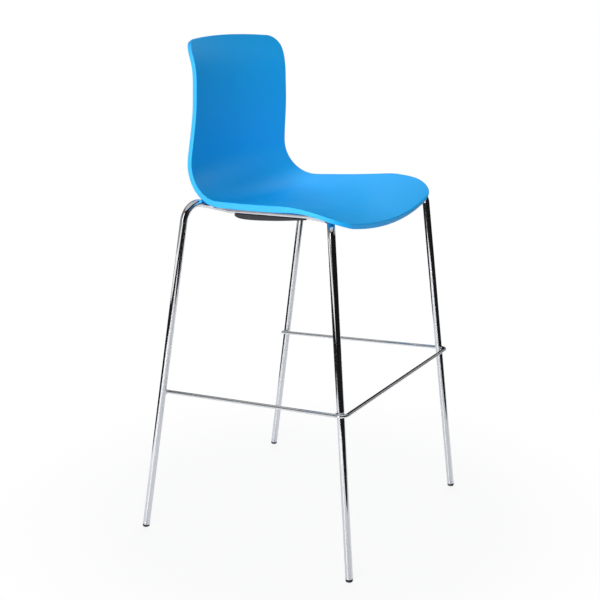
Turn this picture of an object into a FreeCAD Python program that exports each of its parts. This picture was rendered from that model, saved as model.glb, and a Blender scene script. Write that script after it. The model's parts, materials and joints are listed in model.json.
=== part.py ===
import FreeCAD, Part
import math
import os
import Sketcher

# Bar stool with a moulded seat and back, two bent tube side frames and one bent foot rail.
# The floor is z = 0, the sitter faces -Y, and the left and right halves mirror across x = 0.

os.makedirs("parts", exist_ok=True)
doc = FreeCAD.newDocument("bar_stool")
Vec = FreeCAD.Vector

# Driving sizes in millimetres, and degrees where the name says so
driving = [
    ("tube_diameter", 16.0),
    ("tube_wall", 1.5),
    ("rail_diameter", 8.0),
    ("front_foot_x", 274.3),
    ("rear_foot_x", 285.1),
    ("foot_reach", 264.85),
    ("gauge_height", 700.0),
    ("front_gauge_x", 232.1),
    ("front_gauge_y", -197.5),
    ("rear_gauge_x", 257.5),
    ("rear_gauge_y", 154.0),
    ("rear_corner_rise", 19.8),
    ("rear_knee_x", 187.0),
    ("rear_knee_y", 136.0),
    ("rear_knee_rise", 4.1),
    ("run_dip_y", 72.0),
    ("run_dip_drop", 2.7),
    ("run_crest_y", -124.0),
    ("run_crest_rise", 1.4),
    ("front_knee_x", 183.6),
    ("front_knee_y", -167.5),
    ("front_knee_drop", 3.4),
    ("front_corner_drop", 5.4),
    ("rear_bend", 36.0),
    ("rear_knee_bend", 26.0),
    ("run_dip_bend", 120.0),
    ("run_crest_bend", 100.0),
    ("front_knee_bend", 24.0),
    ("front_bend", 27.0),
    ("rail_front_height", 361.0),
    ("rail_rear_height", 334.0),
    ("rail_overrun", 8.0),
    ("rail_root_gap", 0.1),
    ("rail_nose_gap", 3.0),
    ("front_edge_y", -219.35),
    ("crest_y", -97.17),
    ("crest_height", 751.65),
    ("waterfall_radius", 343.7),
    ("seat_slope_deg", 1.7),
    ("bend_start_y", 87.6),
    ("bend_radius", 100.2),
    ("back_lean_deg", 6.64),
    ("low_back_length", 59.1),
    ("lumbar_radius", 548.0),
    ("high_back_length", 38.3),
    ("flare_radius", 156.7),
    ("flare_deg", 32.7),
    ("seat_half_width", 251.8),
    ("bend_half_width", 218.3),
    ("back_half_width", 192.4),
    ("top_half_width", 184.4),
    ("back_gauge_rise", 40.0),
    ("front_corner_radius", 75.0),
    ("top_corner_radius", 39.4),
    ("seat_dish_radius", 1064.0),
    ("back_dish_radius", 725.0),
    ("dish_lead", 90.0),
    ("front_bow", 7.2),
    ("top_crown", 5.1),
    ("skin", 4.0),
    ("rim_wall", 4.0),
    ("rim_edge", 2.0),
    ("rim_depth_lip", 14.3),
    ("rim_depth_front", 12.0),
    ("rim_depth_corner", 9.7),
    ("rim_corner_deg", 25.0),
    ("rim_depth_seat", 14.0),
    ("rim_depth_back", 10.5),
    ("rim_fade_lead", 60.0),
    ("boss_x", 90.0),
    ("boss_front_y", -110.0),
    ("boss_rear_y", 45.0),
    ("boss_diameter", 18.0),
    ("boss_drop", 13.6),
    ("plate_width", 32.0),
    ("plate_thickness", 3.0),
    ("plate_flat", 118.0),
    ("plate_rise_end", 166.0),
    ("plate_bend", 8.0),
    ("screw_diameter", 6.0),
    ("screw_grip", 8.0),
    ("screw_head_diameter", 11.0),
    ("screw_head_height", 3.3),
    ("screw_socket", 4.0),
    ("screw_socket_depth", 2.0),
    ("washer_diameter", 14.0),
    ("washer_thickness", 1.2),
    ("insert_diameter", 8.6),
    ("insert_length", 9.0),
    ("insert_bottom_gap", 1.0),
    ("hole_clearance", 0.3),
    ("thread_clearance", 0.05),
    ("glide_cap", 6.0),
    ("glide_plug", 15.0),
    ("glide_taper", 2.0),
    ("glide_edge", 1.6),
    ("plug_clearance", 0.1),
    ("pad_rear_y", 62.0),
    ("pad_front_y", -112.0),
    ("pad_width", 14.0),
    ("pad_cradle_depth", 1.3),
    ("pad_depth", 17.6),
    ("pad_rear_depth", 11.0),
    ("pad_front_depth", 8.4),
    ("pad_screw_rear_y", 18.0),
    ("pad_screw_front_y", -62.0),
    ("pad_screw_diameter", 3.0),
    ("pad_screw_head_diameter", 6.4),
    ("pad_screw_head_height", 1.8),
    ("pad_screw_seat", 2.0),
    ("pad_screw_bite", 5.0),
    ("weld_radius", 2.0),
]
sheet = doc.addObject("Spreadsheet::Sheet", "sizes")
for row, (alias, value) in enumerate(driving, 1):
    sheet.set("A%d" % row, alias)
    sheet.set("B%d" % row, str(value))
    sheet.setAlias("B%d" % row, alias)
doc.recompute()


def size(alias):
    return float(sheet.get(alias))


def bind(item, **links):
    for name, rule in links.items():
        item.setExpression(name, rule)
    return item


def place(item, x="0", y="0", z="0"):
    item.setExpression(".Placement.Base.x", x)
    item.setExpression(".Placement.Base.y", y)
    item.setExpression(".Placement.Base.z", z)
    return item


def cylinder(name, diameter, height, x="0", y="0", z="0"):
    item = doc.addObject("Part::Cylinder", name)
    bind(item, Radius="(%s) / 2" % diameter, Height=height)
    return place(item, x, y, z)


def cut(name, base, tool):
    item = doc.addObject("Part::Cut", name)
    item.Base = base
    item.Tool = tool
    return item


def fuse(name, items):
    item = doc.addObject("Part::MultiFuse", name)
    item.Shapes = items
    return item


def group(name, items):
    item = doc.addObject("Part::Compound", name)
    item.Links = items
    return item


def mirrored(name, source):
    item = doc.addObject("Part::Mirroring", name)
    item.Source = source
    item.Base = Vec(0, 0, 0)
    item.Normal = Vec(1, 0, 0)
    return item


def origin_plane(body, role):
    return [item for item in body.Origin.OriginFeatures if item.Role == role][0]


def body_sketch(body, role):
    sketch = body.newObject("Sketcher::SketchObject", body.Name + "_sketch")
    sketch.AttachmentSupport = (origin_plane(body, role), [""])
    sketch.MapMode = "FlatFace"
    return sketch


def outline(sketch, corners):
    """Closed outline of straight edges whose corners are tied to the sheet by their distances."""
    count = len(corners)
    spots = [Vec(x, y, 0) for x, y, _, _ in corners]
    for index in range(count):
        sketch.addGeometry(Part.LineSegment(spots[index], spots[(index + 1) % count]), False)
    for index in range(count):
        sketch.addConstraint(Sketcher.Constraint("Coincident", index, 2, (index + 1) % count, 1))
    for index, (x, y, rule_x, rule_y) in enumerate(corners):
        if rule_x is None:
            sketch.addConstraint(Sketcher.Constraint("PointOnObject", index, 1, -2))
        else:
            mark = sketch.addConstraint(Sketcher.Constraint("DistanceX", -1, 1, index, 1, x))
            sketch.setExpression("Constraints[%d]" % mark, rule_x)
        if rule_y is None:
            sketch.addConstraint(Sketcher.Constraint("PointOnObject", index, 1, -1))
        else:
            mark = sketch.addConstraint(Sketcher.Constraint("DistanceY", -1, 1, index, 1, y))
            sketch.setExpression("Constraints[%d]" % mark, rule_y)


def bent_path(points, radii):
    """Wire of straight runs joined by bends, one radius for each inner corner."""
    edges = []
    start = points[0]
    for before, corner, after, radius in zip(points, points[1:], points[2:], radii):
        back = (before - corner).normalize()
        ahead = (after - corner).normalize()
        half = back.getAngle(ahead) / 2
        inward = (back + ahead).normalize()
        first = corner + back * (radius / math.tan(half))
        last = corner + ahead * (radius / math.tan(half))
        middle = corner + inward * (radius / math.sin(half) - radius)
        edges.append(Part.makeLine(start, first))
        edges.append(Part.Arc(first, middle, last).toShape())
        start = last
    edges.append(Part.makeLine(start, points[-1]))
    return Part.Wire(edges)


def path_object(name, points, radii):
    item = doc.addObject("Part::Feature", name)
    item.Shape = bent_path(points, radii)
    return item


def swept(name, path, diameter):
    edges = path.Shape.Edges
    ring = doc.addObject("Part::Circle", name + "_ring")
    bind(ring, Radius="(%s) / 2" % diameter)
    start = edges[0].Vertexes[0].Point
    heading = edges[0].tangentAt(edges[0].FirstParameter)
    ring.Placement = FreeCAD.Placement(start, FreeCAD.Rotation(Vec(0, 0, 1), heading))
    item = doc.addObject("Part::Sweep", name)
    item.Sections = [ring]
    item.Spine = (path, ["Edge%d" % (index + 1) for index in range(len(edges))])
    item.Solid = True
    item.Transition = "Transformed"
    item.Frenet = False
    return item


# Middle line of the moulded shell, from the front edge over the seat and up to the top of the back
slope = math.radians(size("seat_slope_deg"))
lean = math.radians(size("back_lean_deg"))
flare = math.radians(size("flare_deg"))
front_rise = math.asin((size("crest_y") - size("front_edge_y")) / size("waterfall_radius"))
seat_start_y = size("crest_y") + size("waterfall_radius") * math.sin(slope)
seat_line = (size("bend_start_y") - seat_start_y) / math.cos(slope)
bend_turn = slope + math.pi / 2 + lean
runs = [
    (size("waterfall_radius") * (front_rise + slope), -(front_rise + slope)),
    (seat_line, 0.0),
    (size("bend_radius") * bend_turn, bend_turn),
    (size("low_back_length"), 0.0),
    (size("lumbar_radius") * lean, -lean),
    (size("high_back_length"), 0.0),
    (size("flare_radius") * flare, -flare),
]
crest_mark = size("waterfall_radius") * front_rise
bend_mark = runs[0][0] + runs[1][0]
back_mark = bend_mark + size("bend_radius") * math.pi / 2 + size("back_gauge_rise")
top_mark = sum(length for length, _ in runs)
width_marks = [crest_mark, bend_mark, back_mark, top_mark]
half_width_names = ["seat_half_width", "bend_half_width", "back_half_width", "top_half_width"]
half_widths = [size(name) for name in half_width_names]


def between(low, value, high):
    return max(low, min(value, high))


def ease(value):
    value = between(0.0, value, 1.0)
    return value * value * (3 - 2 * value)


def middle_line(mark):
    """Position and heading of the middle line at a length from the front edge."""
    y = size("front_edge_y")
    z = size("crest_height") - size("waterfall_radius") * (1 - math.cos(front_rise))
    heading = front_rise
    for length, turn in runs:
        step = min(mark, length)
        if turn:
            radius = length / turn
            ahead = heading + step / radius
            y += radius * (math.sin(ahead) - math.sin(heading))
            z += radius * (math.cos(heading) - math.cos(ahead))
            heading = ahead
        else:
            y += step * math.cos(heading)
            z += step * math.sin(heading)
        mark -= step
        if mark <= 0:
            break
    return y, z, heading


def half_width(mark):
    """Smooth cubic through the four stated half widths, constant ahead of the seat's crest."""
    mark = max(mark, crest_mark)
    total = 0.0
    for here, width in zip(width_marks, half_widths):
        for other in width_marks:
            if other != here:
                width *= (mark - other) / (here - other)
        total += width
    return total


def rim_depth(mark):
    """Depth of the turned rim: full at the lip and beside the seat, slim at the corners and on the back."""
    front = size("rim_depth_front")
    corner = size("rim_depth_corner")
    seat = size("rim_depth_seat")
    back = size("rim_depth_back")
    radius = size("front_corner_radius")
    turn = math.acos(between(0.0, 1 - mark / radius, 1.0))
    slim = ease(turn / math.radians(size("rim_corner_deg")))
    rise = ease((mark - radius) / radius)
    fade_mark = bend_mark - size("rim_fade_lead")
    fall = ease((mark - fade_mark) / (back_mark - fade_mark))
    return front + (corner - front) * slim + (seat - corner) * rise + (back - seat) * fall


def shell_point(mark, x, half, depth):
    """Point of the dished surface, or of one lying below it by a depth square to the middle line."""
    y, z, heading = middle_line(mark)
    seat_curve = 0.5 / size("seat_dish_radius")
    back_curve = 0.5 / size("back_dish_radius")
    dish_mark = bend_mark - size("dish_lead")
    share = between(0.0, (mark - dish_mark) / (top_mark - dish_mark), 1.0)
    lift = (seat_curve + (back_curve - seat_curve) * share) * x * x
    tip = between(0.0, (mark - bend_mark) / size("bend_radius") - slope, math.pi / 2)
    hollow = 1 - (x / half) ** 2
    front_share = between(0.0, 1 - mark / size("front_corner_radius"), 1.0) ** 2
    bow = size("front_bow") * front_share
    depth *= 1 + (size("rim_depth_lip") / size("rim_depth_front") - 1) * front_share * hollow
    top_share = between(0.0, 1 - (top_mark - mark) / (2 * size("top_corner_radius")), 1.0)
    crown = size("top_crown") * top_share ** 2
    y += depth * math.sin(heading) - lift * math.sin(tip) - bow * hollow
    z += lift * math.cos(tip) - depth * math.cos(heading) + crown * hollow
    return Vec(x, y, z)


corner_steps = 6
side_steps = 24


def shell_rows(inset):
    """Stations of the shell's edge, set in from the outline: lengths along it and half widths there."""
    front = size("front_corner_radius")
    top = size("top_corner_radius")
    rows = []
    for step in range(corner_steps):
        angle = math.pi / 2 * step / corner_steps
        mark = inset + (front - inset) * (1 - math.cos(angle))
        rows.append((mark, size("seat_half_width") - front + (front - inset) * math.sin(angle)))
    for step in range(side_steps):
        mark = front + (top_mark - top - front) * step / side_steps
        rows.append((mark, half_width(mark) - inset))
    for step in range(corner_steps + 1):
        angle = math.pi / 2 * step / corner_steps
        mark = top_mark - top + (top - inset) * math.sin(angle)
        rows.append((mark, half_width(mark) - top + (top - inset) * math.cos(angle)))
    return rows


def edge_column(level, side):
    inset, depth = level
    return [shell_point(mark, side * half, half, depth(mark)) for mark, half in shell_rows(inset)]


def middle_column(level):
    """Control points over the middle that give each crosswise curve its stated hollow."""
    inset, depth = level
    column = []
    for mark, half in shell_rows(inset):
        rim = shell_point(mark, half, half, depth(mark))
        column.append(shell_point(mark, 0, half, depth(mark)) * 2 - Vec(0, rim.y, rim.z))
    return column


outer_edge = edge_column((0.0, lambda mark: 0.0), 1)
spans = [(b - a).Length for a, b in zip(outer_edge, outer_edge[1:])]
stations = [sum(spans[:index]) / sum(spans) for index in range(len(outer_edge))]


def long_face(columns):
    poles = []
    for column in columns:
        curve = Part.BSplineCurve()
        curve.interpolate(Points=column, Parameters=stations)
        poles.append(curve.getPoles())
    across = len(columns)
    surface = Part.BSplineSurface()
    surface.buildFromPolesMultsKnots(
        [list(line) for line in zip(*poles)], curve.getMultiplicities(), [across, across],
        curve.getKnots(), [0.0, 1.0], False, False, 3, across - 1)
    return surface.toShape()


def end_face(columns):
    across = len(columns)
    surface = Part.BSplineSurface()
    surface.buildFromPolesMultsKnots(
        [list(line) for line in zip(*columns)], [3, 3], [across, across],
        [0.0, 1.0], [0.0, 1.0], False, False, 2, across - 1)
    return surface.toShape()


# Levels of the rim's section, from the seat surface round the rounded edge to the underside
edge = size("rim_edge")
wall = size("rim_wall")
top_level = (edge, lambda mark: 0.0)
edge_level = (0.0, lambda mark: 0.0)
wall_top_level = (0.0, lambda mark: edge)
wall_foot_level = (0.0, lambda mark: rim_depth(mark) - wall / 2)
outer_foot_level = (0.0, rim_depth)
rim_foot_level = (wall / 2, rim_depth)
inner_foot_level = (wall, rim_depth)
inner_wall_level = (wall, lambda mark: rim_depth(mark) - wall / 2)
under_level = (wall, lambda mark: size("skin"))
strips = [
    [top_level, edge_level, wall_top_level],
    [wall_top_level, wall_foot_level],
    [wall_foot_level, outer_foot_level, rim_foot_level],
    [rim_foot_level, inner_foot_level, inner_wall_level],
    [inner_wall_level, under_level],
]
faces = []
for level in (top_level, under_level):
    faces.append(long_face([edge_column(level, -1), middle_column(level), edge_column(level, 1)]))
for strip in strips:
    for side in (-1, 1):
        faces.append(long_face([edge_column(level, side) for level in strip]))
    for end in (0, -1):
        columns = []
        for level in strip:
            lines = [edge_column(level, -1), middle_column(level), edge_column(level, 1)]
            columns.append([line[end] for line in lines])
        faces.append(end_face(columns))
skin_shape = Part.Compound(faces)
skin_shape.sewShape(0.001)
skin_solid = Part.Solid(skin_shape.Shells[0])
if skin_solid.Volume < 0:
    skin_solid.reverse()
moulding = doc.addObject("Part::Feature", "moulding")
moulding.Shape = skin_solid


def mark_at(y):
    """Length along the seat's middle line whose point lies at the given y, found by halving."""
    low, high = 0.0, bend_mark
    for _ in range(40):
        middle = (low + high) / 2
        if middle_line(middle)[0] < y:
            low = middle
        else:
            high = middle
    return low


# Screw bosses under the seat, each bored for a thread insert
boss_foot = "sizes.crest_height - sizes.boss_drop"
bosses = []
insert_holes = []
screw_spots = []
for row, y_name in (("front", "boss_front_y"), ("rear", "boss_rear_y")):
    mark = mark_at(size(y_name))
    seat_top = shell_point(mark, size("boss_x"), half_width(mark), 0.0).z
    for side, sign in (("left", "-"), ("right", "")):
        spot = (sign + "sizes.boss_x", "sizes." + y_name)
        screw_spots.append((row + "_" + side, spot))
        boss = cylinder("boss_%s_%s" % (row, side), "sizes.boss_diameter", "1", *spot, boss_foot)
        boss.setExpression("Height", "%.3f - sizes.skin / 2 - (%s)" % (seat_top, boss_foot))
        bosses.append(boss)
        insert_holes.append(cylinder(
            "insert_hole_%s_%s" % (row, side), "sizes.insert_diameter + 2 * sizes.thread_clearance",
            "sizes.insert_length + sizes.insert_bottom_gap", *spot, boss_foot))
bossed = fuse("bossed_moulding", [moulding] + bosses)
seat_shell = cut("seat_shell", bossed, group("insert_holes", insert_holes))

# Leg lines and the bent path of one side frame, on the left
front_foot = Vec(-size("front_foot_x"), -size("foot_reach"), 0)
rear_foot = Vec(-size("rear_foot_x"), size("foot_reach"), 0)
front_gauge = Vec(-size("front_gauge_x"), size("front_gauge_y"), size("gauge_height"))
rear_gauge = Vec(-size("rear_gauge_x"), size("rear_gauge_y"), size("gauge_height"))
front_heading = (front_gauge - front_foot).normalize()
rear_heading = (rear_gauge - rear_foot).normalize()


def on_leg(foot, gauge, height):
    return foot + (gauge - foot) * (height / size("gauge_height"))


seat_level = size("crest_height")
rear_knee = Vec(-size("rear_knee_x"), size("rear_knee_y"), seat_level + size("rear_knee_rise"))
front_knee = Vec(-size("front_knee_x"), size("front_knee_y"), seat_level - size("front_knee_drop"))


def under_seat(y, rise):
    """Point of the seat run between its knees, at a height above the seat's crest."""
    point = front_knee + (rear_knee - front_knee) * ((y - front_knee.y) / (rear_knee.y - front_knee.y))
    return Vec(point.x, y, seat_level + rise)


run_dip = under_seat(size("run_dip_y"), -size("run_dip_drop"))
run_crest = under_seat(size("run_crest_y"), size("run_crest_rise"))
frame_points = [
    rear_foot + rear_heading * size("glide_cap"),
    on_leg(rear_foot, rear_gauge, seat_level + size("rear_corner_rise")),
    rear_knee,
    run_dip,
    run_crest,
    front_knee,
    on_leg(front_foot, front_gauge, seat_level - size("front_corner_drop")),
    front_foot + front_heading * size("glide_cap"),
]
bend_names = [
    "rear_bend", "rear_knee_bend", "run_dip_bend", "run_crest_bend", "front_knee_bend", "front_bend"]
frame_bends = [size(name) for name in bend_names]
frame_path = path_object("frame_path", frame_points, frame_bends)
tube_skin = swept("tube_skin", frame_path, "sizes.tube_diameter")
tube_bore = swept("tube_bore", frame_path, "sizes.tube_diameter - 2 * sizes.tube_wall")
tube_skin_right = mirrored("tube_skin_right", tube_skin)

# Frame of the run's straight part: its middle is level with the run's axis, y runs along it to the rear
run_heading = (run_dip - run_crest).normalize()
run_turn = FreeCAD.Rotation(Vec(1, 0, 0), run_heading, Vec(0, 0, 1), "YZX")


def on_run(y):
    return run_crest + (run_dip - run_crest) * ((y - run_crest.y) / (run_dip.y - run_crest.y))


def at_run(item, y, drop):
    item.Placement = FreeCAD.Placement(on_run(y) - run_turn.multVec(Vec(0, 0, drop)), run_turn)
    return item


pad_screw_ys = [size("pad_screw_rear_y"), size("pad_screw_front_y")]
pilot_holes = []
for index, y in enumerate(pad_screw_ys):
    pilot = doc.addObject("Part::Cylinder", "pilot_hole_%d" % index)
    bind(pilot, Radius="sizes.pad_screw_diameter / 2 + sizes.thread_clearance")
    bind(pilot, Height="sizes.tube_diameter / 2")
    pilot_holes.append(at_run(pilot, y, size("tube_diameter") / 2 + size("plug_clearance")))
tube_hollow = fuse("tube_hollow", [tube_bore] + pilot_holes)
side_frame_left = cut("side_frame_left", tube_skin, tube_hollow)
side_frame_right = mirrored("side_frame_right", side_frame_left)

# Foot rail: one rod that touches the outer sides of the front legs, stands a little ahead of them and
# ends welded inside the rear legs
rail_offset = (size("tube_diameter") + size("rail_diameter")) / 2 + size("rail_root_gap")
rail_bend = rail_offset + size("rail_nose_gap")
rail_front = on_leg(front_foot, front_gauge, size("rail_front_height"))
rail_rear = on_leg(rear_foot, rear_gauge, size("rail_rear_height"))
arm_start = Vec(rail_front.x - rail_offset, rail_front.y, rail_front.z)
arm_end = Vec(rail_rear.x + rail_offset, rail_rear.y, rail_rear.z)
arm = (arm_end - arm_start).normalize()
rail_corner = arm_start - arm * (rail_bend / arm.dot(Vec(0, 1, 0)))
rail_end = arm_end + arm * size("rail_overrun")


def across(point):
    return Vec(-point.x, point.y, point.z)


rail_path = path_object(
    "rail_path", [rail_end, rail_corner, across(rail_corner), across(rail_end)], [rail_bend, rail_bend])
foot_rail = swept("foot_rail", rail_path, "sizes.rail_diameter")

# Glides: a bevelled cap of the tube's size with a plug in its bore, cut level with the floor
glides = []
floor = doc.addObject("Part::Box", "floor_block")
bind(floor, Length="4 * sizes.rear_foot_x", Width="4 * sizes.foot_reach", Height="sizes.glide_cap")
place(floor, "-2 * sizes.rear_foot_x", "-2 * sizes.foot_reach", "-sizes.glide_cap")
bore_rule = "sizes.tube_diameter / 2 - sizes.tube_wall - sizes.plug_clearance"
plug_radius = size("tube_diameter") / 2 - size("tube_wall") - size("plug_clearance")
cap_radius = size("tube_diameter") / 2
cap_height = size("glide_cap")
bevel = size("glide_edge")
plug_top = cap_height + size("glide_plug")
taper = size("glide_taper")
for row, foot, heading in (("front", front_foot, front_heading), ("rear", rear_foot, rear_heading)):
    body = doc.addObject("PartDesign::Body", "glide_%s_turned" % row)
    profile = body_sketch(body, "XZ_Plane")
    outline(profile, [
        (0, -bevel, None, "-sizes.glide_edge"),
        (cap_radius - bevel, -bevel, "sizes.tube_diameter / 2 - sizes.glide_edge", "-sizes.glide_edge"),
        (cap_radius, bevel, "sizes.tube_diameter / 2", "sizes.glide_edge"),
        (cap_radius, cap_height, "sizes.tube_diameter / 2", "sizes.glide_cap"),
        (plug_radius, cap_height, bore_rule, "sizes.glide_cap"),
        (plug_radius, plug_top - taper, bore_rule, "sizes.glide_cap + sizes.glide_plug - sizes.glide_taper"),
        (plug_radius - taper / 2, plug_top, bore_rule + " - sizes.glide_taper / 2",
         "sizes.glide_cap + sizes.glide_plug"),
        (0, plug_top, None, "sizes.glide_cap + sizes.glide_plug"),
    ])
    turned = body.newObject("PartDesign::Revolution", "glide_%s_revolution" % row)
    turned.Profile = profile
    turned.ReferenceAxis = (profile, ["V_Axis"])
    turned.Angle = 360.0
    body.Placement = FreeCAD.Placement(foot, FreeCAD.Rotation(Vec(0, 0, 1), heading))
    level_glide = cut("glide_%s_left" % row, body, floor)
    glides.append(level_glide)
    glides.append(mirrored("glide_%s_right" % row, level_glide))


def fold(flat_x, rise_x, end_x, flat_z, end_z, offset):
    """Half of a joggled strip's upper or lower line, from the middle out to its end."""
    tilt = math.atan2(end_z - flat_z, rise_x - flat_x)
    shift = offset * math.tan(tilt / 2)
    return [(flat_x - shift, flat_z + offset), (rise_x - shift, end_z + offset), (end_x, end_z + offset)]


# Cross plates: two joggled strips whose ends are coped to the seat runs
plates = []
for row, y_name in (("front", "boss_front_y"), ("rear", "boss_rear_y")):
    reach = on_run(size(y_name))
    middle_z = size("crest_height") - size("boss_drop") - size("plate_thickness") / 2
    half_plate = size("plate_thickness") / 2
    bounds = (size("plate_flat"), size("plate_rise_end"), -reach.x, middle_z, reach.z)
    upper = fold(*bounds, half_plate)
    lower = fold(*bounds, -half_plate)
    left_upper = [(-x, z) for x, z in reversed(upper)]
    left_lower = [(-x, z) for x, z in lower]
    loop = left_upper + upper + list(reversed(lower)) + left_lower
    body = doc.addObject("PartDesign::Body", "plate_%s_pressed" % row)
    profile = body_sketch(body, "XZ_Plane")
    for (x0, z0), (x1, z1) in zip(loop, loop[1:] + loop[:1]):
        profile.addGeometry(Part.LineSegment(Vec(x0, z0, 0), Vec(x1, z1, 0)), False)
    for index in range(len(loop)):
        profile.addConstraint(Sketcher.Constraint("Coincident", index, 2, (index + 1) % len(loop), 1))
    pressed = body.newObject("PartDesign::Pad", "plate_%s_pad" % row)
    pressed.Profile = profile
    bind(pressed, Length="sizes.plate_width")
    pressed.Midplane = True
    doc.recompute()
    folds = []
    for index, line in enumerate(pressed.Shape.Edges, 1):
        along_width = abs(line.Vertexes[0].Point.y - line.Vertexes[-1].Point.y) > size("plate_width") - 0.1
        if along_width and abs(line.Vertexes[0].Point.x) < -reach.x - 1:
            folds.append("Edge%d" % index)
    rounded = body.newObject("PartDesign::Fillet", "plate_%s_folds" % row)
    rounded.Base = (pressed, folds)
    bind(rounded, Radius="sizes.plate_bend")
    place(body, y="sizes." + y_name)
    holes = []
    for side, sign in (("left", "-"), ("right", "")):
        holes.append(cylinder(
            "plate_hole_%s_%s" % (row, side), "sizes.screw_diameter + 2 * sizes.hole_clearance",
            "3 * sizes.plate_thickness", sign + "sizes.boss_x", "sizes." + y_name,
            boss_foot + " - 2 * sizes.plate_thickness"))
    coping = group("plate_%s_coping" % row, [tube_skin, tube_skin_right] + holes)
    plates.append(cut("cross_plate_" + row, body, coping))

# Seat screws from below, each with a washer and a thread insert in its boss
screws = []
washers = []
inserts = []
plate_foot = boss_foot + " - sizes.plate_thickness"
washer_foot = plate_foot + " - sizes.washer_thickness"
head_foot = washer_foot + " - sizes.screw_head_height"
for name, spot in screw_spots:
    shank = cylinder(
        "shank_" + name, "sizes.screw_diameter",
        "sizes.washer_thickness + sizes.plate_thickness + sizes.screw_grip", *spot, washer_foot)
    head = cylinder("head_" + name, "sizes.screw_head_diameter", "sizes.screw_head_height", *spot, head_foot)
    socket = doc.addObject("Part::Prism", "socket_" + name)
    socket.Polygon = 6
    bind(socket, Circumradius="sizes.screw_socket / sqrt(3)", Height="sizes.screw_socket_depth")
    place(socket, *spot, head_foot)
    screws.append(cut("screw_" + name, fuse("blank_" + name, [shank, head]), socket))
    disc = cylinder("disc_" + name, "sizes.washer_diameter", "sizes.washer_thickness", *spot, washer_foot)
    eye = cylinder(
        "eye_" + name, "sizes.screw_diameter + sizes.hole_clearance", "sizes.washer_thickness",
        *spot, washer_foot)
    washers.append(cut("washer_" + name, disc, eye))
    sleeve = cylinder(
        "sleeve_" + name, "sizes.insert_diameter", "sizes.insert_length", *spot, boss_foot)
    thread = cylinder(
        "thread_" + name, "sizes.screw_diameter + 2 * sizes.thread_clearance", "sizes.insert_length",
        *spot, boss_foot)
    inserts.append(cut("insert_" + name, sleeve, thread))
seat_screws = group("seat_screws", screws)
seat_washers = group("seat_washers", washers)
thread_inserts = group("thread_inserts", inserts)

# Stacking pad under the left seat run: a lens with a blunt rear end, hollowed to cradle the tube
pad_middle = (size("pad_rear_y") + size("pad_front_y")) / 2
pad_half = (size("pad_rear_y") - size("pad_front_y")) / 2
pad_body = doc.addObject("PartDesign::Body", "pad_block")
pad_profile = body_sketch(pad_body, "YZ_Plane")
pad_top = size("pad_cradle_depth") - size("tube_diameter") / 2
rear_tip = Vec(pad_half, -size("pad_rear_depth"), 0)
front_tip = Vec(-pad_half, -size("pad_front_depth"), 0)
belly = Part.BSplineCurve()
belly.interpolate(Points=[
    rear_tip,
    Vec(0.93 * pad_half, -0.82 * size("pad_depth"), 0),
    Vec(0.8 * pad_half, -0.95 * size("pad_depth"), 0),
    Vec(0.5 * pad_half, -size("pad_depth"), 0),
    Vec(0.2 * pad_half, -0.955 * size("pad_depth"), 0),
    Vec(-0.1 * pad_half, -0.88 * size("pad_depth"), 0),
    Vec(-0.55 * pad_half, -0.7 * size("pad_depth"), 0),
    front_tip])
pad_profile.addGeometry([
    Part.LineSegment(Vec(-pad_half, pad_top, 0), Vec(pad_half, pad_top, 0)),
    Part.LineSegment(Vec(pad_half, pad_top, 0), rear_tip),
    belly,
    Part.LineSegment(front_tip, Vec(-pad_half, pad_top, 0))], False)
for first, second in ((0, 1), (1, 2), (2, 3), (3, 0)):
    pad_profile.addConstraint(Sketcher.Constraint("Coincident", first, 2, second, 1))
pad_block = pad_body.newObject("PartDesign::Pad", "pad_thickness")
pad_block.Profile = pad_profile
bind(pad_block, Length="sizes.pad_width")
pad_block.Midplane = True
at_run(pad_body, pad_middle, 0.0)
pad_tools = [tube_skin]
pad_screw_list = []
seat_drop = size("tube_diameter") / 2 + size("pad_screw_seat")
for index, y in enumerate(pad_screw_ys):
    recess = doc.addObject("Part::Cylinder", "pad_recess_%d" % index)
    bind(recess, Radius="sizes.pad_screw_head_diameter / 2 + sizes.hole_clearance")
    bind(recess, Height="sizes.pad_depth")
    pad_tools.append(at_run(recess, y, seat_drop + size("pad_depth")))
    shank_hole = doc.addObject("Part::Cylinder", "pad_hole_%d" % index)
    bind(shank_hole, Radius="sizes.pad_screw_diameter / 2 + sizes.hole_clearance")
    bind(shank_hole, Height="sizes.tube_diameter / 2")
    pad_tools.append(at_run(shank_hole, y, seat_drop + size("hole_clearance")))
    head = doc.addObject("Part::Cylinder", "pad_screw_head_%d" % index)
    bind(head, Radius="sizes.pad_screw_head_diameter / 2", Height="sizes.pad_screw_head_height")
    at_run(head, y, seat_drop + size("pad_screw_head_height"))
    shank = doc.addObject("Part::Cylinder", "pad_screw_shank_%d" % index)
    bind(shank, Radius="sizes.pad_screw_diameter / 2", Height="sizes.pad_screw_seat + sizes.pad_screw_bite")
    at_run(shank, y, seat_drop)
    pad_screw_list.append(fuse("pad_screw_%d" % index, [head, shank]))
stacking_pad_left = cut("stacking_pad_left", pad_body, group("pad_tools", pad_tools))
stacking_pad_right = mirrored("stacking_pad_right", stacking_pad_left)
pad_screws_left = group("pad_screws_left", pad_screw_list)
pad_screws = group("pad_screws", [pad_screws_left, mirrored("pad_screws_right", pad_screws_left)])

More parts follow.
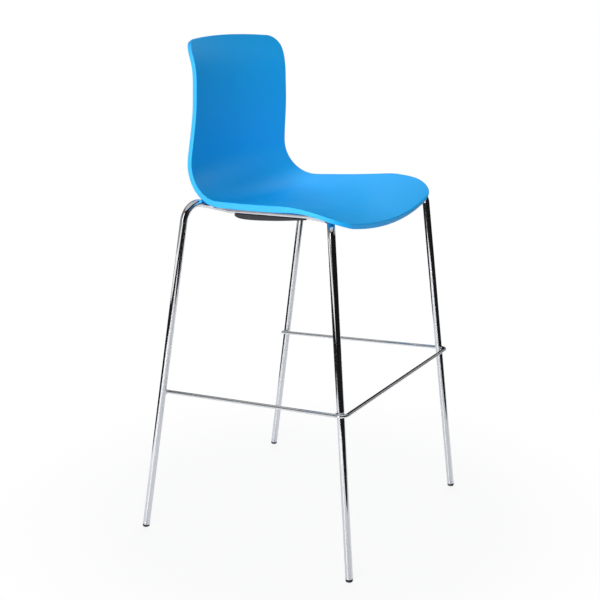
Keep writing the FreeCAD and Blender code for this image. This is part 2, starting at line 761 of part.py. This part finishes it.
# Weld beads in the grooves between the foot rail and the legs
rail_tilt = FreeCAD.Rotation(Vec(1, 0, 0), arm, Vec(0, 0, 1), "XYZ")
rail_up = rail_tilt.multVec(Vec(0, 0, 1))
bead_lift = size("rail_diameter") / 2 - size("weld_radius") / 4
bead_out = size("tube_diameter") / 2 + 0.75 * size("weld_radius")
rail_beads = []
for level, lift in (("upper", bead_lift), ("lower", -bead_lift)):
    bead = doc.addObject("Part::Torus", "front_bead_" + level)
    bind(bead, Radius1="sizes.tube_diameter / 2 + 0.75 * sizes.weld_radius", Radius2="sizes.weld_radius")
    bead.Angle3 = 80.0
    bead.Placement = FreeCAD.Placement(
        rail_front + rail_up * lift, rail_tilt * FreeCAD.Rotation(Vec(0, 0, 1), 140.0))
    rail_beads.append(bead)
    bead = doc.addObject("Part::Cylinder", "rear_bead_" + level)
    bind(bead, Radius="sizes.weld_radius", Height="sizes.tube_diameter / 2")
    start = rail_rear + Vec(bead_out, 0, 0) + rail_up * lift - arm * (size("tube_diameter") / 4)
    bead.Placement = FreeCAD.Placement(start, FreeCAD.Rotation(Vec(0, 0, 1), arm))
    rail_beads.append(bead)
rail_bead_group = group("rail_beads", rail_beads)
rail_welds_left = cut("rail_welds_left", rail_bead_group, group("rail_joint", [tube_skin, foot_rail]))
rail_welds = group("rail_welds", [rail_welds_left, mirrored("rail_welds_right", rail_welds_left)])

# Weld beads under the ends of the cross plates
plate_beads = []
for row, y_name in (("front", "boss_front_y"), ("rear", "boss_rear_y")):
    reach = on_run(size(y_name))
    bead = doc.addObject("Part::Cylinder", "plate_bead_" + row)
    bind(bead, Radius="sizes.weld_radius", Height="0.8 * sizes.plate_width")
    drop = size("plate_thickness") / 2 + size("weld_radius") / 4
    start = reach + Vec(size("tube_diameter") / 2, 0, -drop) - run_heading * (0.4 * size("plate_width"))
    bead.Placement = FreeCAD.Placement(start, FreeCAD.Rotation(Vec(0, 0, 1), run_heading))
    plate_beads.append(bead)
plate_joint = group("plate_joint", [tube_skin] + plates)
plate_welds_left = cut("plate_welds_left", group("plate_beads", plate_beads), plate_joint)
plate_welds = group("plate_welds", [plate_welds_left, mirrored("plate_welds_right", plate_welds_left)])

doc.recompute()
nodes = [
    seat_shell, side_frame_left, side_frame_right, foot_rail, stacking_pad_left, stacking_pad_right,
    seat_screws, seat_washers, thread_inserts, pad_screws, rail_welds, plate_welds]
nodes += plates + glides
for item in doc.Objects:
    if "Invalid" in item.State or "Error" in item.State:
        raise RuntimeError("failed: " + item.Name)
for node in nodes:
    node.Label = node.Name
    if node.Shape.isNull() or not node.Shape.isValid() or not node.Shape.Solids:
        raise RuntimeError("bad shape: " + node.Label)
    node.Shape.exportStep("parts/%s.step" % node.Label)
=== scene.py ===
import json
import math

import bpy
from mathutils import Matrix, Vector

# Bar stool with a moulded blue seat and back on a bright plated tube frame.
# Lengths are in metres, colours in linear light, and noise scales count per metre.
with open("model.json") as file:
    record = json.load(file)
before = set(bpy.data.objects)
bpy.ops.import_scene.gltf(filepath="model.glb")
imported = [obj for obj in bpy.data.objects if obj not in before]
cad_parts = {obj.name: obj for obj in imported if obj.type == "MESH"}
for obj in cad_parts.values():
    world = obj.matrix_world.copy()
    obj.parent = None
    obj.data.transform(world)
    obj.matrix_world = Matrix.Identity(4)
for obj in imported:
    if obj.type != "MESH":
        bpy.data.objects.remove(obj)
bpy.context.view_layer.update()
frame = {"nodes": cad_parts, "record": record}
scene = bpy.context.scene
nodes = frame["nodes"]

# Camera at the photograph's viewing angle
CAMERA_PLACE = Vector((-2.126534, -1.229192, 1.187530))
CAMERA_YAW = math.radians(-59.704514)
CAMERA_PITCH = math.radians(15.345511)
CAMERA_ROLL = math.radians(-0.205443)
CAMERA_SENSOR = 36.0
CAMERA_LENS = 66.1758
CAMERA_CLIP = (0.05, 60.0)

ahead = Vector((
    -math.sin(CAMERA_YAW) * math.cos(CAMERA_PITCH),
    math.cos(CAMERA_YAW) * math.cos(CAMERA_PITCH),
    -math.sin(CAMERA_PITCH)))
level_right = Vector((math.cos(CAMERA_YAW), math.sin(CAMERA_YAW), 0.0))
level_up = level_right.cross(ahead)
right = level_right * math.cos(CAMERA_ROLL) + level_up * math.sin(CAMERA_ROLL)
up = level_up * math.cos(CAMERA_ROLL) - level_right * math.sin(CAMERA_ROLL)
camera_data = bpy.data.cameras.new("camera")
camera_data.sensor_width = CAMERA_SENSOR
camera_data.lens = CAMERA_LENS
camera_data.clip_start, camera_data.clip_end = CAMERA_CLIP
camera = bpy.data.objects.new("camera", camera_data)
scene.collection.objects.link(camera)
turn = Matrix((right, up, -ahead)).transposed().to_4x4()
camera.matrix_world = Matrix.Translation(CAMERA_PLACE) @ turn
scene.camera = camera

# Directions on the floor, away from the camera and to its right
forward = Vector((ahead.x, ahead.y, 0.0)).normalized()
sideways = Vector((level_right.x, level_right.y, 0.0)).normalized()

WHITE = (1, 1, 1, 1)
WHOLE = (0.0, 1.0)
NOISE_SPAN = (0.3, 0.7)


class Tree:
    """Short calls for building a node tree."""

    def __init__(self, owner):
        owner.use_nodes = True
        self.tree = owner.node_tree
        self.tree.nodes.clear()

    def fill(self, socket, value):
        if isinstance(value, bpy.types.NodeSocket):
            self.tree.links.new(value, socket)
        else:
            socket.default_value = value

    def add(self, kind, inputs=None, **settings):
        node = self.tree.nodes.new(kind)
        for name, value in settings.items():
            setattr(node, name, value)
        for name, value in (inputs or {}).items():
            self.fill(node.inputs[name], value)
        return node

    def math(self, operation, first, second=0.0):
        return self.add("ShaderNodeMath", {0: first, 1: second}, operation=operation).outputs[0]

    def noise(self, place, scale, detail, roughness=0.5):
        inputs = {"Vector": place, "Scale": scale, "Detail": detail, "Roughness": roughness}
        return self.add("ShaderNodeTexNoise", inputs).outputs["Fac"]

    def spread(self, value, span, levels, smooth=False):
        """The value's span carried over to the levels, held at both ends."""
        inputs = {
            "Value": value, "From Min": span[0], "From Max": span[1],
            "To Min": levels[0], "To Max": levels[1]}
        kind = "SMOOTHSTEP" if smooth else "LINEAR"
        return self.add("ShaderNodeMapRange", inputs, interpolation_type=kind).outputs[0]

    def window(self, value, edges):
        """1 between a soft rise and a soft fall, 0 outside them; each takes two of the four edges."""
        rise = self.spread(value, edges[:2], (0.0, 1.0), True)
        return self.math("MULTIPLY", rise, self.spread(value, edges[2:], (1.0, 0.0), True))

    def tint(self, share, first, second):
        mix = self.add("ShaderNodeMix", {"Factor": share}, data_type="RGBA")
        self.fill(mix.inputs[6], first)
        self.fill(mix.inputs[7], second)
        return mix.outputs[2]

    def bump(self, height, relief, before=None):
        """Relief is a strength and a depth."""
        inputs = {"Height": height, "Strength": relief[0], "Distance": relief[1]}
        if before is not None:
            inputs["Normal"] = before
        return self.add("ShaderNodeBump", inputs).outputs["Normal"]

    def object_place(self):
        return self.add("ShaderNodeTexCoord").outputs["Object"]

    def toward(self, place, heading):
        inputs = {0: place, 1: heading}
        return self.add("ShaderNodeVectorMath", inputs, operation="DOT_PRODUCT").outputs["Value"]

    def glow(self, strength):
        return self.add("ShaderNodeEmission", {"Color": WHITE, "Strength": strength}).outputs[0]

    def sky(self, strength):
        return self.add("ShaderNodeBackground", {"Color": WHITE, "Strength": strength}).outputs[0]

    def blend(self, share, first, second):
        return self.add("ShaderNodeMixShader", {0: share, 1: first, 2: second}).outputs[0]

    def close(self, shader, kind="ShaderNodeOutputMaterial"):
        output = self.add(kind)
        self.tree.links.new(shader, output.inputs["Surface"])


def new_material(name):
    material = bpy.data.materials.new(name)
    return material, Tree(material)


# Each noise is a scale, a detail and, where it isn't 0.5, a roughness
SHELL_TONES = ((0.003, 0.382, 0.875, 1), (0.005, 0.402, 0.91, 1))
SHELL_SPECK_COLOUR = (0.002, 0.33, 0.79, 1)
# Painted highlight: a paler blue for the side-facing rims, standing in for light falling on them
SHELL_PAINTED_RIM_HIGHLIGHT = (0.045, 0.43, 0.92, 1)
SHELL_CLOUD = (9.0, 3.0)
SHELL_SPECK = (900.0, 1.0)
SHELL_GRAIN = (1500.0, 2.0, 0.6)
SHELL_WAVE = (26.0, 1.0)
SHELL_SPECK_SPAN = (0.35, 0.75)
SHELL_SPECK_SHARE = (0.0, 0.12)
SHELL_PAINTED_HIGHLIGHT_FACING = (0.5, 0.85)
SHELL_GRAIN_RELIEF = (0.12, 0.0003)
SHELL_WAVE_RELIEF = (0.03, 0.002)
SHELL_ROUGHNESS = (0.36, 0.44)
SHELL_SPECULAR = 0.25


def shell_material():
    """Satin moulded plastic: fine grain, faint cloudiness in colour and gloss, and a painted highlight
    that makes the side-facing rims paler.
    """
    material, tree = new_material("shell_plastic")
    place = tree.object_place()
    cloud = tree.noise(place, *SHELL_CLOUD)
    speck = tree.spread(tree.noise(place, *SHELL_SPECK), SHELL_SPECK_SPAN, SHELL_SPECK_SHARE)
    colour = tree.tint(speck, tree.tint(cloud, *SHELL_TONES), SHELL_SPECK_COLOUR)
    # Painted highlight: surfaces facing sideways along X are tinted paler, as if lit, on both sides of
    # the shell
    normal = tree.add("ShaderNodeTexCoord").outputs["Normal"]
    across = tree.math("ABSOLUTE", tree.add("ShaderNodeSeparateXYZ", {0: normal}).outputs["X"])
    colour = tree.tint(tree.spread(across, SHELL_PAINTED_HIGHLIGHT_FACING, WHOLE, True), colour, SHELL_PAINTED_RIM_HIGHLIGHT)
    wave = tree.bump(tree.noise(place, *SHELL_WAVE), SHELL_WAVE_RELIEF)
    shader = tree.add("ShaderNodeBsdfPrincipled", {
        "Base Color": colour, "Roughness": tree.spread(cloud, NOISE_SPAN, SHELL_ROUGHNESS),
        "Normal": tree.bump(tree.noise(place, *SHELL_GRAIN), SHELL_GRAIN_RELIEF, wave),
        "Specular IOR Level": SHELL_SPECULAR})
    tree.close(shader.outputs[0])
    return material


def plated_material(name, tones, haze, roughness, ripple, relief):
    """Plated metal: one noise clouds its colour and gloss, another ripples its surface."""
    material, tree = new_material(name)
    place = tree.object_place()
    cloud = tree.noise(place, *haze)
    shader = tree.add("ShaderNodeBsdfPrincipled", {
        "Base Color": tree.tint(cloud, *tones), "Metallic": 1.0,
        "Roughness": tree.spread(cloud, NOISE_SPAN, roughness),
        "Normal": tree.bump(tree.noise(place, *ripple), relief)})
    tree.close(shader.outputs[0])
    return material


PAD_TONES = ((0.030, 0.030, 0.034, 1), (0.052, 0.052, 0.057, 1))
PAD_GRAIN = (1100.0, 2.0, 0.6)
PAD_RUB = (45.0, 4.0)
PAD_RUB_SPAN = (0.45, 0.75)
PAD_ROUGHNESS = (0.46, 0.6)
PAD_RELIEF = (0.2, 0.0003)


def pad_material():
    """Charcoal moulded pad with a fine matt grain and rubbed spots."""
    material, tree = new_material("pad_plastic")
    place = tree.object_place()
    rub = tree.noise(place, *PAD_RUB)
    shader = tree.add("ShaderNodeBsdfPrincipled", {
        "Base Color": tree.tint(tree.spread(rub, PAD_RUB_SPAN, WHOLE), *PAD_TONES),
        "Roughness": tree.spread(rub, NOISE_SPAN, PAD_ROUGHNESS),
        "Normal": tree.bump(tree.noise(place, *PAD_GRAIN), PAD_RELIEF)})
    tree.close(shader.outputs[0])
    return material


GLIDE_TONES = ((0.011, 0.011, 0.012, 1), (0.07, 0.068, 0.065, 1))
GLIDE_SCRATCH = (420.0, 4.0, 0.65)
GLIDE_SCRATCH_SPAN = (0.42, 0.62)
GLIDE_WORN_HEIGHTS = (0.0, 0.0025)
GLIDE_ROUGHNESS = (0.42, 0.7)
GLIDE_RELIEF = (0.15, 0.0003)


def glide_material():
    """Dark moulded foot cap, scuffed pale near the floor."""
    material, tree = new_material("glide_plastic")
    place = tree.object_place()
    height = tree.add("ShaderNodeSeparateXYZ", {0: place}).outputs["Z"]
    scratch = tree.noise(place, *GLIDE_SCRATCH)
    low = tree.spread(height, GLIDE_WORN_HEIGHTS, (1.0, 0.0), True)
    worn = tree.math("MULTIPLY", low, tree.spread(scratch, GLIDE_SCRATCH_SPAN, WHOLE))
    shader = tree.add("ShaderNodeBsdfPrincipled", {
        "Base Color": tree.tint(worn, *GLIDE_TONES),
        "Roughness": tree.spread(worn, WHOLE, GLIDE_ROUGHNESS),
        "Normal": tree.bump(scratch, GLIDE_RELIEF)})
    tree.close(shader.outputs[0])
    return material


INSERT_TONES = ((0.50, 0.32, 0.09, 1), (0.62, 0.42, 0.14, 1))
INSERT_LINES = {"Scale": 900.0, "Distortion": 0.4}
INSERT_ROUGHNESS = (0.25, 0.36)
INSERT_RELIEF = (0.2, 0.0002)


def insert_material():
    """Turned brass with fine tool lines."""
    material, tree = new_material("brass_insert")
    lines = tree.add(
        "ShaderNodeTexWave", {"Vector": tree.object_place(), **INSERT_LINES},
        wave_type="BANDS", bands_direction="Z").outputs["Fac"]
    shader = tree.add("ShaderNodeBsdfPrincipled", {
        "Base Color": tree.tint(lines, *INSERT_TONES), "Metallic": 1.0,
        "Roughness": tree.spread(lines, WHOLE, INSERT_ROUGHNESS),
        "Normal": tree.bump(lines, INSERT_RELIEF)})
    tree.close(shader.outputs[0])
    return material


# Materials go onto the nodes by their slot in the record; the weld beads are duller than the tube
by_slot = {
    "shell": shell_material(),
    "chrome": plated_material(
        "chrome", ((0.80, 0.81, 0.83, 1), (0.88, 0.885, 0.90, 1)), haze=(35.0, 3.0),
        roughness=(0.045, 0.085), ripple=(14.0, 1.0), relief=(0.05, 0.001)),
    "pad": pad_material(),
    "glide": glide_material(),
    "screw": plated_material(
        "zinc_screw", ((0.42, 0.43, 0.45, 1), (0.62, 0.62, 0.60, 1)), haze=(260.0, 3.0),
        roughness=(0.26, 0.42), ripple=(260.0, 3.0), relief=(0.1, 0.0003)),
    "insert": insert_material(),
}
weld = plated_material(
    "weld_bead", ((0.66, 0.67, 0.69, 1), (0.84, 0.845, 0.86, 1)), haze=(700.0, 1.0),
    roughness=(0.12, 0.26), ripple=(700.0, 1.0), relief=(0.5, 0.0006))
for entry in frame["record"]["subparts"]:
    item = nodes[entry["node"]]
    is_weld = entry["node"].endswith("_welds")
    item.data.materials.clear()
    item.data.materials.append(weld if is_weld else by_slot[entry["material_slot"]])

# Floor: pale paper, white to the camera but keeping a soft shadow near the stool.
# In reflections it is a pale sheet with a light sheen, and a dim studio floor lies beyond it.
# The sheet's four edges on each axis are where it starts, is whole, starts to fade and ends.
PAPER_REACH = 4.0
PAPER_TONES = ((0.53, 0.535, 0.55, 1), (0.57, 0.575, 0.59, 1))
PAPER_FIBRE = (300.0, 2.0)
SHADOW_REACH = (0.35, 0.85)
SHADOW_WHITE = (0.88, 1.0)
SHEET_X = (-1.85, -1.65, 2.1, 2.6)
SHEET_Y = (-0.93, -0.79, 0.74, 0.92)
FLOOR_BEYOND = 0.012
FLOOR_SHEEN = (0.30, 0.31, 0.33, 1)
FLOOR_SHEEN_ROUGHNESS = 0.2


def on_floor(across, along):
    return sideways * across + forward * along


def stage_mesh(name, points, faces, material):
    mesh = bpy.data.meshes.new(name)
    mesh.from_pydata([tuple(point) for point in points], [], faces)
    mesh.materials.append(material)
    item = bpy.data.objects.new(name, mesh)
    scene.collection.objects.link(item)
    return item


def floor_material():
    material, tree = new_material("paper_floor")
    place = tree.object_place()
    path = tree.add("ShaderNodeLightPath").outputs
    fibre = tree.noise(place, *PAPER_FIBRE)
    paper = tree.add("ShaderNodeBsdfDiffuse", {"Color": tree.tint(fibre, *PAPER_TONES)}).outputs[0]
    clear = tree.math("MAXIMUM", path["Is Camera Ray"], path["Is Transmission Ray"])
    reach = tree.add("ShaderNodeVectorMath", {0: place}, operation="LENGTH").outputs["Value"]
    white_share = tree.math("MULTIPLY", clear, tree.spread(reach, SHADOW_REACH, SHADOW_WHITE, True))
    seen = tree.blend(white_share, paper, tree.glow(1.0))
    spot = tree.add("ShaderNodeSeparateXYZ", {0: place}).outputs
    sheet = tree.math("MULTIPLY", tree.window(spot["X"], SHEET_X), tree.window(spot["Y"], SHEET_Y))
    sheen = tree.add(
        "ShaderNodeBsdfGlossy", {"Color": FLOOR_SHEEN, "Roughness": FLOOR_SHEEN_ROUGHNESS}).outputs[0]
    satin = tree.add("ShaderNodeAddShader", {0: paper, 1: sheen}).outputs[0]
    mirrored = tree.blend(sheet, tree.glow(FLOOR_BEYOND), satin)
    tree.close(tree.blend(path["Is Glossy Ray"], seen, mirrored))
    return material


floor_corners = [
    on_floor(-PAPER_REACH, -PAPER_REACH), on_floor(PAPER_REACH, -PAPER_REACH),
    on_floor(PAPER_REACH, PAPER_REACH), on_floor(-PAPER_REACH, PAPER_REACH)]
stage_mesh("floor", floor_corners, [(0, 1, 2, 3)], floor_material())

# Cards: curved white sheets out of view on the left, seen only in reflections.
# Bearings count in degrees from the direction to the camera, turning to the left.
CARD_STEPS = 24


def card_material(name, level):
    material, tree = new_material(name)
    tree.close(tree.glow(level))
    return material


def card(name, reach, bearings, heights, level):
    """Upright arc round the stool between two bearings."""
    points = []
    faces = []
    for step in range(CARD_STEPS + 1):
        bearing = math.radians(bearings[0] + (bearings[1] - bearings[0]) * step / CARD_STEPS)
        spot = on_floor(-reach * math.sin(bearing), -reach * math.cos(bearing))
        points += [Vector((spot.x, spot.y, height)) for height in heights]
        if step:
            foot = 2 * step
            faces.append((foot - 2, foot, foot + 1, foot - 1))
    item = stage_mesh(name, points, faces, card_material(name, level))
    item.visible_camera = False
    item.visible_diffuse = False
    item.visible_transmission = False
    item.visible_volume_scatter = False
    item.visible_shadow = False


card("white_card", reach=2.0, bearings=(20.0, 118.0), heights=(0.26, 0.44), level=1.0)
card("strip_card", reach=3.2, bearings=(30.0, 44.0), heights=(0.5, 2.6), level=2.2)

# World: the studio that reflections show, by bearing and by height, the sine of the angle up
AMBIENT = 0.37
LEFT_BEARINGS = (16.0, 40.0, 130.0, 170.0)
LEFT_HEIGHTS = (0.05, 0.3)
LEFT_LEVELS = (0.3, 0.16)
BEHIND_BEARINGS = (90.0, 115.0)
BEHIND_LEVELS = (0.0, 0.1)
STRIP_BEARINGS = (-165.0, -140.0, -95.0, -70.0)
STRIP_HEIGHTS = (0.1, 0.2, 0.36, 0.46)
STRIP_LEVEL = 0.5
ABOVE_HEIGHTS = (0.64, 0.78)
ABOVE_LEVELS = (0.0, 0.55)
STUDIO_DARK = 0.008


def make_world():
    """White to the camera, an even soft light on the object, and a dim studio in reflections."""
    world = bpy.data.worlds.new("studio")
    tree = Tree(world)
    path = tree.add("ShaderNodeLightPath").outputs
    heading = tree.add("ShaderNodeTexCoord").outputs["Generated"]
    height = tree.add("ShaderNodeSeparateXYZ", {0: heading}).outputs["Z"]
    angle = tree.math("ARCTAN2", tree.toward(heading, -sideways), tree.toward(heading, -forward))
    bearing = tree.math("MULTIPLY", angle, math.degrees(1.0))
    left = tree.math(
        "MULTIPLY", tree.window(bearing, LEFT_BEARINGS), tree.spread(height, LEFT_HEIGHTS, LEFT_LEVELS))
    behind = tree.spread(bearing, BEHIND_BEARINGS, BEHIND_LEVELS, True)
    strip = tree.math(
        "MULTIPLY", tree.window(bearing, STRIP_BEARINGS), tree.window(height, STRIP_HEIGHTS))
    above = tree.spread(height, ABOVE_HEIGHTS, ABOVE_LEVELS, True)
    studio = tree.math("MAXIMUM", left, STUDIO_DARK)
    for light in (behind, tree.math("MULTIPLY", strip, STRIP_LEVEL), above):
        studio = tree.math("MAXIMUM", studio, light)
    clear = tree.math("MAXIMUM", path["Is Camera Ray"], path["Is Transmission Ray"])
    lit = tree.blend(path["Is Glossy Ray"], tree.sky(AMBIENT), tree.sky(studio))
    tree.close(tree.blend(clear, lit, tree.sky(1.0)), "ShaderNodeOutputWorld")
    scene.world = world


make_world()

# Soft lamps: a wide one low on the left and one behind on the right; reflections leave them out
LAMP_TARGET = Vector((0.0, 0.0, 0.85))


def area_lamp(name, spot, width, height, power):
    lamp = bpy.data.lights.new(name, "AREA")
    lamp.shape = "RECTANGLE"
    lamp.size = width
    lamp.size_y = height
    lamp.energy = power
    item = bpy.data.objects.new(name, lamp)
    item.location = spot
    item.rotation_euler = (LAMP_TARGET - Vector(spot)).to_track_quat("-Z", "Y").to_euler()
    item.visible_glossy = False
    scene.collection.objects.link(item)


area_lamp("left_lamp", (-2.53, -0.493, 1.21), width=2.2, height=1.4, power=72.0)
area_lamp("back_lamp", (1.844, 1.065, 2.341), width=2.4, height=2.0, power=82.0)

scene.view_settings.view_transform = "Standard"
